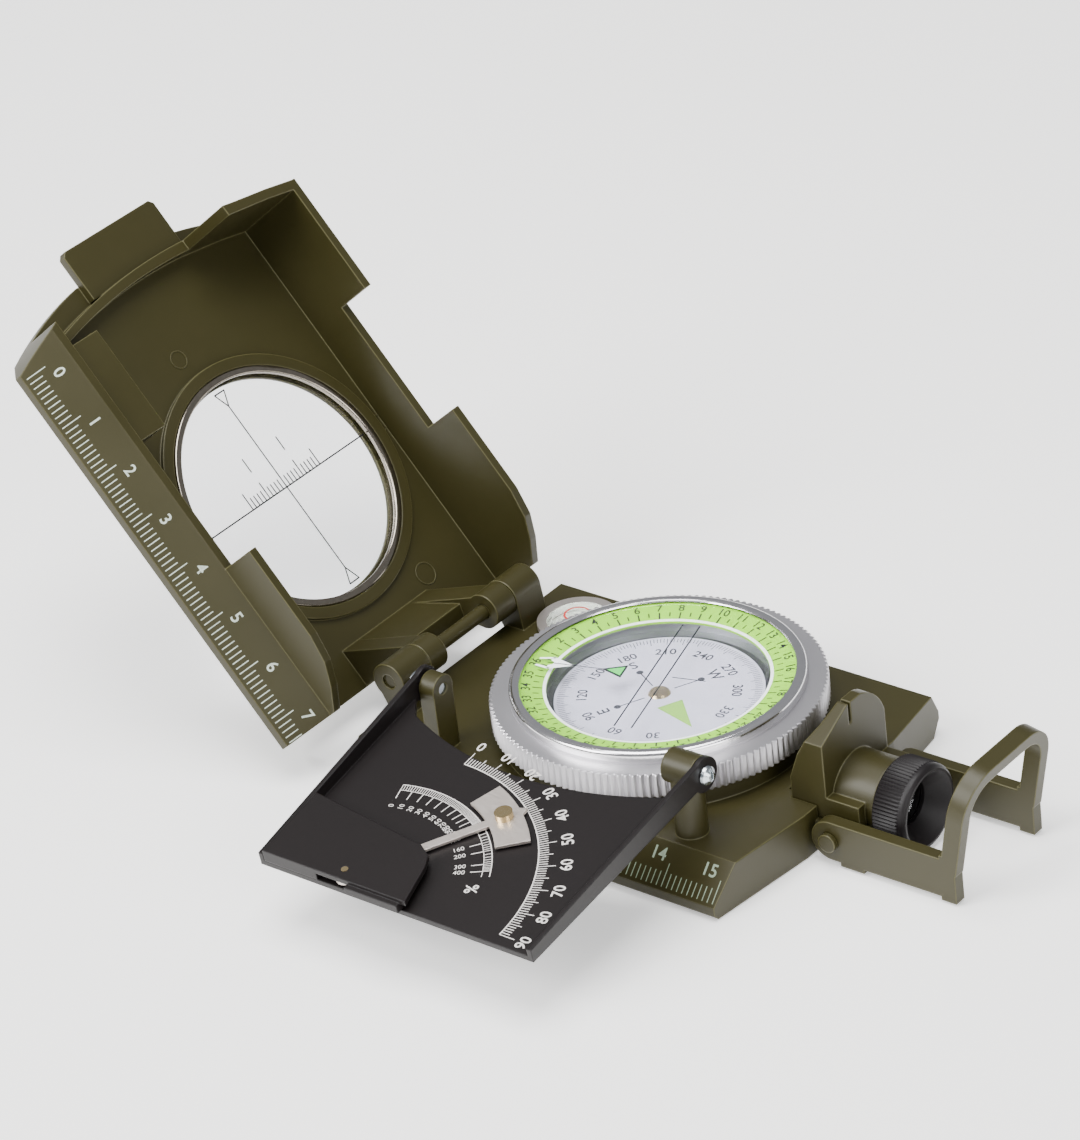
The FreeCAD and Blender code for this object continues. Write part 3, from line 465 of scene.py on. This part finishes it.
def card_plane(bearing, radius):
    """The card's face at one bearing from north, with the writing's top turned outwards."""
    angle = math.radians(north_bearing - bearing)
    outward = (math.cos(angle), math.sin(angle))
    return plane((radius * outward[0], radius * outward[1], 12.7), (outward[1], -outward[0], 0),
                 (outward[0], outward[1], 0))


north_bearing = -28.0
# Dark grey ink, lighter than the dial's black.
card_ink = printing_ink("grey_card_ink", "#26262B", "#3A3A40")
mesh = bmesh.new()
for degree in range(0, 360, 2):
    length = 1.9 if degree % 10 == 0 else 1.2
    stroke(mesh, card_plane(degree, 16.9 - length / 2), (0, -length / 2), (0, length / 2), 0.12)
for degree in range(30, 360, 30):
    figures(mesh, card_plane(degree, 12.7), str(degree), (0, 0), 1.75)
for letter, degree in (("E", 90), ("S", 180), ("W", 270)):
    figures(mesh, card_plane(degree, 10.0), letter, (0, 0), 2.1)
    stroke(mesh, card_plane(degree, 5.0), (0, -2.3), (0, 2.3), 0.22)
    bmesh.ops.create_circle(mesh, cap_ends=True, segments=24, radius=0.6,
                            matrix=card_plane(degree, 7.6))
fit("card_print", mesh, card_ink, "card")
# Duller green than the ring.
north_green = printing_ink("green_card_ink", "#7FB338", "#8CBC48")
mesh = bmesh.new()
patch(mesh, card_plane(0, 0), [(-2.3, 3.9), (2.3, 3.9), (0, 12.4)])
fit("north_arrow", mesh, north_green, "card")

# Brass with a trace of nickel wash: pale gold, bright, slightly tarnished in patches.
brass, tree = new_finish("turned_brass")
where = add(tree, "ShaderNodeTexCoord")
tarnish = add(tree, "ShaderNodeTexNoise", {"Vector": where.outputs["Object"], "Scale": 1 / 0.001,
                                           "Detail": 3.0})
tone = add(tree, "ShaderNodeMixRGB", {"Fac": tarnish.outputs["Fac"], "Color1": linear("#E0CDA2"),
                                      "Color2": linear("#D2B784")})
shader = add(tree, "ShaderNodeBsdfPrincipled", {"Base Color": tone.outputs["Color"], "Metallic": 1.0,
                                                "Roughness": 0.24})
add(tree, "ShaderNodeOutputMaterial", {"Surface": shader.outputs["BSDF"]})
dress(("card_jewel", "pendulum_pin"), brass)


# Bubble level: a nickelled cup with a white disc on its floor, filled with spirit under a domed window.
# A red circle printed on the window shows where the bubble stands when the base is level.
dress(("level_window",), acrylic)
# Spirit: almost colourless, with a faint yellow-green.
spirit = clear("tinted_spirit", 1.36, "#F4F6EC")
dress(("level_liquid",), spirit)
# Nickel on brass: warm silver, softly reflective.
cup_metal, tree = new_finish("nickelled_brass_cup")
where = add(tree, "ShaderNodeTexCoord")
cloudy = add(tree, "ShaderNodeTexNoise", {"Vector": where.outputs["Object"], "Scale": 1 / 0.002})
tone = add(tree, "ShaderNodeMixRGB", {"Fac": cloudy.outputs["Fac"], "Color1": linear("#CFC6C0"),
                                      "Color2": linear("#DDD6D0")})
shader = add(tree, "ShaderNodeBsdfPrincipled", {"Base Color": tone.outputs["Color"], "Metallic": 0.85,
                                                "Roughness": 0.28})
add(tree, "ShaderNodeOutputMaterial", {"Surface": shader.outputs["BSDF"]})
dress(("level_cup",), cup_metal)
level_place = Matrix.Translation((-30.8 * mm, 17.4 * mm, 0))
mesh = lathe([(0.01, 5.02), (5.25, 5.02), (5.25, 5.1), (0.01, 5.1)], 64)
mesh.transform(level_place)
fit("level_backing", mesh, dial_white, "base")
# Clear red, the only warm colour on the dial side.
red_ink = printing_ink("red_level_ink", "#B5302C", "#C4443E")
mesh = lathe([(2.0, 10.42), (2.4, 10.39), (2.4, 10.42), (2.0, 10.45)], 64)
mesh.transform(level_place)
fit("level_circle", mesh, red_ink, "base")


# Inclinometer tray: a pressed steel sheet with two side flanges and ears, painted matt black and
# printed white with a degree scale and a percent scale. It hangs on a screw and a rivet.

# Black stoving paint on pressed steel: near black, satin, with a fine texture and soft pressed edges.
black_paint, tree = new_finish("matt_black_stoving_paint")
where = add(tree, "ShaderNodeTexCoord")
texture = add(tree, "ShaderNodeTexNoise", {"Vector": where.outputs["Object"], "Scale": 1 / 0.0004,
                                           "Detail": 2.0})
soft_edge = add(tree, "ShaderNodeBevel", {"Radius": 0.0003}, samples=6)
tone = add(tree, "ShaderNodeMixRGB", {"Fac": texture.outputs["Fac"], "Color1": linear("#120E0E"),
                                      "Color2": linear("#181414")})
speckle = add(tree, "ShaderNodeBump", {"Strength": 0.15, "Distance": 0.00002,
                                       "Height": texture.outputs["Fac"],
                                       "Normal": soft_edge.outputs["Normal"]})
shader = add(tree, "ShaderNodeBsdfPrincipled", {"Base Color": tone.outputs["Color"], "Roughness": 0.4,
                                                "IOR": 1.38, "Normal": speckle.outputs["Normal"]})
add(tree, "ShaderNodeOutputMaterial", {"Surface": shader.outputs["BSDF"]})
dress(("inclinometer_tray", "pivot_cover"), black_paint)


def arc(mesh, place, radius, start, end, width):
    """A printed arc, in degrees from the hinge side towards the eyepiece side."""
    band, angle = bmesh.new(), math.radians(start)
    ends = [band.verts.new((reach * math.sin(angle), reach * math.cos(angle), 0))
            for reach in (radius - width / 2, radius + width / 2)]
    line = band.edges.new(ends)
    bmesh.ops.spin(band, geom=[*ends, line], axis=(0, 0, 1), cent=(0, 0, 0), dvec=(0, 0, 0),
                   angle=-math.radians(end - start), steps=60)
    band.transform(place)
    join(mesh, band)


def spoke(mesh, place, degrees, inner, outer, width):
    """A printed stroke that points away from the pendulum's pin."""
    angle = math.radians(degrees)
    stroke(mesh, place, (inner * math.sin(angle), inner * math.cos(angle)),
           (outer * math.sin(angle), outer * math.cos(angle)), width)


tray_rest = about((0, -23.6, 19.7), 8, "X")
scales = tray_rest @ plane((-11, -67.5, 19.2), (1, 0, 0), (0, 1, 0))
# Opaque white ink, crisp on black.
tray_ink = printing_ink("white_screen_ink", "#E4E0DC", "#C4C0BC")
mesh = bmesh.new()
arc(mesh, scales, 30.4, 0, 90, 0.22)
for degree in range(91):
    length = 2.9 if degree % 10 == 0 else 2.3 if degree % 5 == 0 else 1.6
    spoke(mesh, scales, degree, 30.4, 30.4 + length, 0.17)
    if degree % 10 == 0:
        angle = math.radians(degree)
        figures(mesh, scales, str(degree), (35.1 * math.sin(angle), 35.1 * math.cos(angle)), 2.0,
                180 - degree)
arc(mesh, scales, 23.0, -15.4, 64, 0.18)
arc(mesh, scales, 21.7, -15.4, 64, 0.12)
slope = 0
while slope <= 400:
    degree = math.degrees(math.atan(slope / 100)) - 15.4
    spoke(mesh, scales, degree, 21.7, 23.0, 0.12)
    slope += 2 if slope < 100 else 10 if slope < 200 else 20
for slope in (0, 10, 20, 30, 40, 50, 60, 70, 80, 90, 100, 120, 160, 200, 300, 400):
    degree = math.degrees(math.atan(slope / 100)) - 15.4
    spoke(mesh, scales, degree, 19.7, 21.7, 0.16)
    angle = math.radians(degree)
    figures(mesh, scales, str(slope), (17.9 * math.sin(angle), 17.9 * math.cos(angle)), 0.95, 90 - degree)
figures(mesh, scales, "%", (21.0 * math.sin(1.25), 21.0 * math.cos(1.25)), 2.2, 110)
fit("tray_scales", mesh, tray_ink, "tray")


# Pendulum: blanked from nickel-plated steel, with a sector weight and a pointer that reads against both
# scales. A brass stud is pressed into the weight, and a brass pin carries the arm.

# Nickel plate over brushed steel: warm white metal, with strokes across the arm.
nickel, tree = new_finish("nickel_plated_steel")
where = add(tree, "ShaderNodeTexCoord")
brushed = add(tree, "ShaderNodeMapping", {"Vector": where.outputs["Object"], "Scale": (1.0, 12.0, 1.0)})
lines = add(tree, "ShaderNodeTexNoise", {"Vector": brushed.outputs["Vector"], "Scale": 1 / 0.0015,
                                         "Detail": 3.0})
drag = add(tree, "ShaderNodeMapRange", {"Value": lines.outputs["Fac"], "From Min": 0.3, "From Max": 0.7,
                                        "To Min": 0.3, "To Max": 0.45})
soft_edge = add(tree, "ShaderNodeBevel", {"Radius": 0.00012}, samples=4)
shader = add(tree, "ShaderNodeBsdfPrincipled", {"Base Color": linear("#E4DAD2"), "Metallic": 0.9,
                                                "Roughness": drag.outputs["Result"],
                                                "Normal": soft_edge.outputs["Normal"]})
add(tree, "ShaderNodeOutputMaterial", {"Surface": shader.outputs["BSDF"]})
dress(("pendulum",), nickel)
dress(("pendulum_stud",), brass)


# Eyepiece: a black anodised cell carries the lens and slides in the sight's tube. The focusing ring
# is turned with a conical eyecup and a fine straight knurl.

# Black anodising: deep black with a soft sheen on the knurl's crests.
black_metal, tree = new_finish("black_anodised_aluminium")
where = add(tree, "ShaderNodeTexCoord")
matt = add(tree, "ShaderNodeTexNoise", {"Vector": where.outputs["Object"], "Scale": 1 / 0.0003,
                                        "Detail": 2.0})
tone = add(tree, "ShaderNodeMixRGB", {"Fac": matt.outputs["Fac"], "Color1": linear("#0F0C0D"),
                                      "Color2": linear("#171314")})
shader = add(tree, "ShaderNodeBsdfPrincipled", {"Base Color": tone.outputs["Color"], "Roughness": 0.48,
                                                "IOR": 1.36})
add(tree, "ShaderNodeOutputMaterial", {"Surface": shader.outputs["BSDF"]})
dress(("lens_cell",), black_metal)
knurls, knurl_depth, knurled_from = 72, 0.26, 7.35
mesh = lathe([(5.18, 46.6), (7.1, 46.6), (7.4, 46.8), (7.5, 47.0), (7.5, 51.3), (7.3, 51.5), (7.3, 52.1),
              (7.1, 52.5), (6.7, 52.8), (6.3, 52.8), (6.1, 52.55), (3.8, 49.2), (3.8, 48.5), (5.18, 48.5)],
             knurls * 6)
for vertex in mesh.verts:
    reach = math.hypot(vertex.co.x, vertex.co.y)
    if reach > knurled_from * mm:
        phase = math.atan2(vertex.co.y, vertex.co.x) * knurls
        vertex.co.xy *= 1 - knurl_depth * mm * (0.5 - 0.5 * math.cos(phase)) / reach
mesh.transform(Matrix.Translation((0, 0, 7.7 * mm)) @ Matrix.Rotation(math.pi / 2, 4, "Y"))
knob = fit("knurled_focus_ring", mesh, black_metal, "focus_ring", smooth=True)
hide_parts("focus_ring")
# Optical glass, clear and colourless.
optic = clear("ground_optical_glass", 1.52, "#FDFEFF")
dress(("eyepiece_lens", "sight_prism"), optic)


# Fasteners: the zinc-plated screws, the tray's rivet, the sprung wire ring, the needle and the magnets.
# The thumb loop's rivets are set before painting, so they are olive.

# Bright zinc: cool bluish silver, with a faint spangle.
zinc, tree = new_finish("bright_zinc_plating")
where = add(tree, "ShaderNodeTexCoord")
spangle = add(tree, "ShaderNodeTexNoise", {"Vector": where.outputs["Object"], "Scale": 1 / 0.0007,
                                           "Detail": 2.0})
tone = add(tree, "ShaderNodeMixRGB", {"Fac": spangle.outputs["Fac"], "Color1": linear("#B9C2C8"),
                                      "Color2": linear("#D2D8DB")})
soft_edge = add(tree, "ShaderNodeBevel", {"Radius": 0.00015}, samples=4)
shader = add(tree, "ShaderNodeBsdfPrincipled", {"Base Color": tone.outputs["Color"], "Metallic": 1.0,
                                                "Roughness": 0.22, "Normal": soft_edge.outputs["Normal"]})
add(tree, "ShaderNodeOutputMaterial", {"Surface": shader.outputs["BSDF"]})
dress(("tray_screw", "tray_rivet", "floor_screws", "sight_screw", "bezel_spring_ring", "pivot_needle",
       "card_magnets"), zinc)
dress(("loop_rivets",), olive_enamel)


# Studio: a pale matt light table, one large soft box over the front left, a fill on the right, and a
# soft top light, with the camera at a low three-quarter angle.

# White acrylic table lit from below: an even, bright, shadowless ground.
floor_acrylic, tree = new_finish("white_acrylic_light_table")
where = add(tree, "ShaderNodeTexCoord")
mottle = add(tree, "ShaderNodeTexNoise", {"Vector": where.outputs["Object"], "Scale": 1 / 0.05})
tone = add(tree, "ShaderNodeMixRGB", {"Fac": mottle.outputs["Fac"], "Color1": linear("#F4F3F1"),
                                      "Color2": linear("#F7F6F4")})
shader = add(tree, "ShaderNodeBsdfPrincipled", {"Base Color": tone.outputs["Color"], "Roughness": 0.8,
                                                "IOR": 1.45, "Emission Color": linear("#FFFFFF"),
                                                "Emission Strength": 0.55})
add(tree, "ShaderNodeOutputMaterial", {"Surface": shader.outputs["BSDF"]})
mesh = bmesh.new()
bmesh.ops.create_grid(mesh, x_segments=1, y_segments=1, size=3.0)
data = bpy.data.meshes.new("floor")
mesh.to_mesh(data)
mesh.free()
data.materials.append(floor_acrylic)
floor = bpy.data.objects.new("floor", data)
floor.location.z = -0.0002
bpy.context.collection.objects.link(floor)

world = bpy.data.worlds.new("studio")
world.use_nodes = True
world.node_tree.nodes["Background"].inputs["Color"].default_value = linear("#F2F4F8")
world.node_tree.nodes["Background"].inputs["Strength"].default_value = 0.36
bpy.context.scene.world = world


def soft_box(name, spot, width, watts):
    """A square area light that faces the middle of the instrument."""
    light = bpy.data.lights.new(name, "AREA")
    light.size, light.energy = width, watts
    box = bpy.data.objects.new(name, light)
    box.location = spot
    box.rotation_euler = (Vector((-0.02, -0.01, 0.02)) - Vector(spot)).to_track_quat("-Z", "Y").to_euler()
    bpy.context.collection.objects.link(box)


soft_box("key", (-0.45, -0.85, 0.75), 0.7, 20.0)
soft_box("fill", (0.95, -0.35, 0.45), 0.6, 7.0)
soft_box("top", (0.0, -0.1, 1.15), 0.8, 20.0)

azimuth, elevation, roll = math.radians(41.47), math.radians(30.23), math.radians(-7.01)
aim, distance = Vector((-0.0483, 0.0291, 0.008)), 0.8664
back = Vector((math.sin(azimuth) * math.cos(elevation), -math.cos(azimuth) * math.cos(elevation),
               math.sin(elevation)))
level = Vector((math.cos(azimuth), math.sin(azimuth), 0))
right = level * math.cos(roll) + back.cross(level) * math.sin(roll)
camera_data = bpy.data.cameras.new("camera")
camera_data.sensor_fit, camera_data.sensor_width, camera_data.lens = "HORIZONTAL", 36.0, 166.7
camera = bpy.data.objects.new("camera", camera_data)
camera.matrix_world = Matrix.Translation(aim + back * distance) @ Matrix(
    (right, back.cross(right), back)).transposed().to_4x4()
bpy.context.collection.objects.link(camera)
bpy.context.scene.camera = camera
